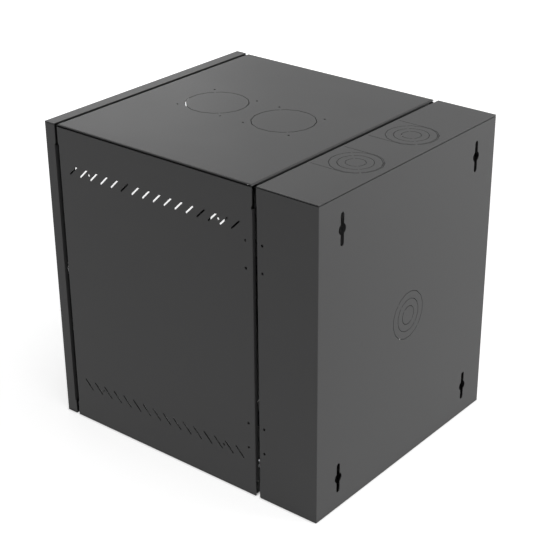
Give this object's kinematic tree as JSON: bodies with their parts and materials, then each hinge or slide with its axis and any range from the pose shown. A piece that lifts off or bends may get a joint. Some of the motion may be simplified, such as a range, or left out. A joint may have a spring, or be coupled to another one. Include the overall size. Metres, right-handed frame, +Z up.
{
  "type": "wall mount network cabinet",
  "caption": "Swing-out wall mount network cabinet of folded sheet steel with a glazed lockable door, adjustable rack rails, slanted vents and cable knock-outs.",
  "frame": {"origin": "centre of the wall section's rear face, which lies on the wall", "axes": "+Z up, +Y into the wall, so the door faces -Y; +X is the latch and lock side and -X the hinge side"},
  "size_m": [0.542, 0.6225, 0.605],
  "materials": {
    "powder_coat": "fine textured black powder coat",
    "rail_steel": "satin black paint",
    "zinc_steel": "bright zinc plate",
    "chrome": "polished",
    "clear_glass": "clear tempered glass",
    "black_rubber": "matte",
    "black_plastic": "matte"
  },
  "bodies": {
    "wall_section": {"wall_wrap": "powder_coat", "wall_top_panel": "powder_coat", "wall_bottom_panel": "powder_coat", "upper_hinge_fixed_half": "powder_coat", "lower_hinge_fixed_half": "powder_coat", "swing_hinge_pins": "zinc_steel", "wall_hinge_screws": "zinc_steel", "wall_earth_stud": "zinc_steel", "upper_latch_strike": "zinc_steel", "lower_latch_strike": "zinc_steel", "swing_buffers": "black_rubber"},
    "swing_section": {"right_side_panel": "powder_coat", "left_side_panel": "powder_coat", "swing_top_panel": "powder_coat", "swing_bottom_panel": "powder_coat", "upper_hinge_moving_half": "powder_coat", "lower_hinge_moving_half": "powder_coat", "swing_hinge_screws": "zinc_steel", "swing_earth_stud": "zinc_steel", "upper_latch_bracket": "zinc_steel", "lower_latch_bracket": "zinc_steel", "upper_right_rail_bracket": "powder_coat", "lower_right_rail_bracket": "powder_coat", "upper_left_rail_bracket": "powder_coat", "lower_left_rail_bracket": "powder_coat", "door_hinge_lower_halves": "powder_coat", "door_buffers": "black_rubber"},
    "front_door": {"door_frame": "powder_coat", "window_glass": "clear_glass", "window_seal": "black_rubber", "glass_clips": "zinc_steel", "glass_clip_studs": "zinc_steel", "door_hinge_upper_halves": "powder_coat", "lock_barrel": "chrome", "lock_nut": "zinc_steel"},
    "lock": {"lock_plug": "chrome", "lock_cam": "zinc_steel", "lock_cam_screw": "zinc_steel"},
    "upper_latch": {"upper_latch_bolt": "zinc_steel", "upper_latch_knob": "black_plastic"},
    "lower_latch": {"lower_latch_bolt": "zinc_steel", "lower_latch_knob": "black_plastic"},
    "front_right_rail": {"front_right_rack_rail": "rail_steel", "front_right_rail_bolts": "zinc_steel"},
    "front_left_rail": {"front_left_rack_rail": "rail_steel", "front_left_rail_bolts": "zinc_steel"},
    "rear_right_rail": {"rear_right_rack_rail": "rail_steel", "rear_right_rail_bolts": "zinc_steel"},
    "rear_left_rail": {"rear_left_rack_rail": "rail_steel", "rear_left_rail_bolts": "zinc_steel"}
  },
  "joints": [
    {"name": "swing_hinge", "type": "hinge", "parent": "wall_section", "child": "swing_section", "pos_m": [-0.271, -0.13335, 0], "axis": [0, 0, -1], "range_deg": [0, 95]},
    {"name": "door_hinge", "type": "hinge", "parent": "swing_section", "child": "front_door", "pos_m": [-0.2635, -0.5928, 0], "axis": [0, 0, -1], "range_deg": [0, 100]},
    {"name": "lock_turn", "type": "hinge", "parent": "front_door", "child": "lock", "pos_m": [0.2395, -0.6, 0], "axis": [0, -1, 0], "range_deg": [0, 90]},
    {"name": "upper_latch_slide", "type": "slide", "parent": "swing_section", "child": "upper_latch", "axis": [1, 0, 0], "range_m": [0, 0.008]},
    {"name": "lower_latch_slide", "type": "slide", "parent": "swing_section", "child": "lower_latch", "axis": [1, 0, 0], "range_m": [0, 0.008]},
    {"name": "front_right_rail_slide", "type": "slide", "parent": "swing_section", "child": "front_right_rail", "axis": [0, -1, 0], "range_m": [-0.04, 0.07]},
    {"name": "front_left_rail_slide", "type": "slide", "parent": "swing_section", "child": "front_left_rail", "axis": [0, -1, 0], "range_m": [-0.04, 0.07]},
    {"name": "rear_right_rail_slide", "type": "slide", "parent": "swing_section", "child": "rear_right_rail", "axis": [0, -1, 0], "range_m": [-0.06, 0.04]},
    {"name": "rear_left_rail_slide", "type": "slide", "parent": "swing_section", "child": "rear_left_rail", "axis": [0, -1, 0], "range_m": [-0.06, 0.04]}
  ]
}
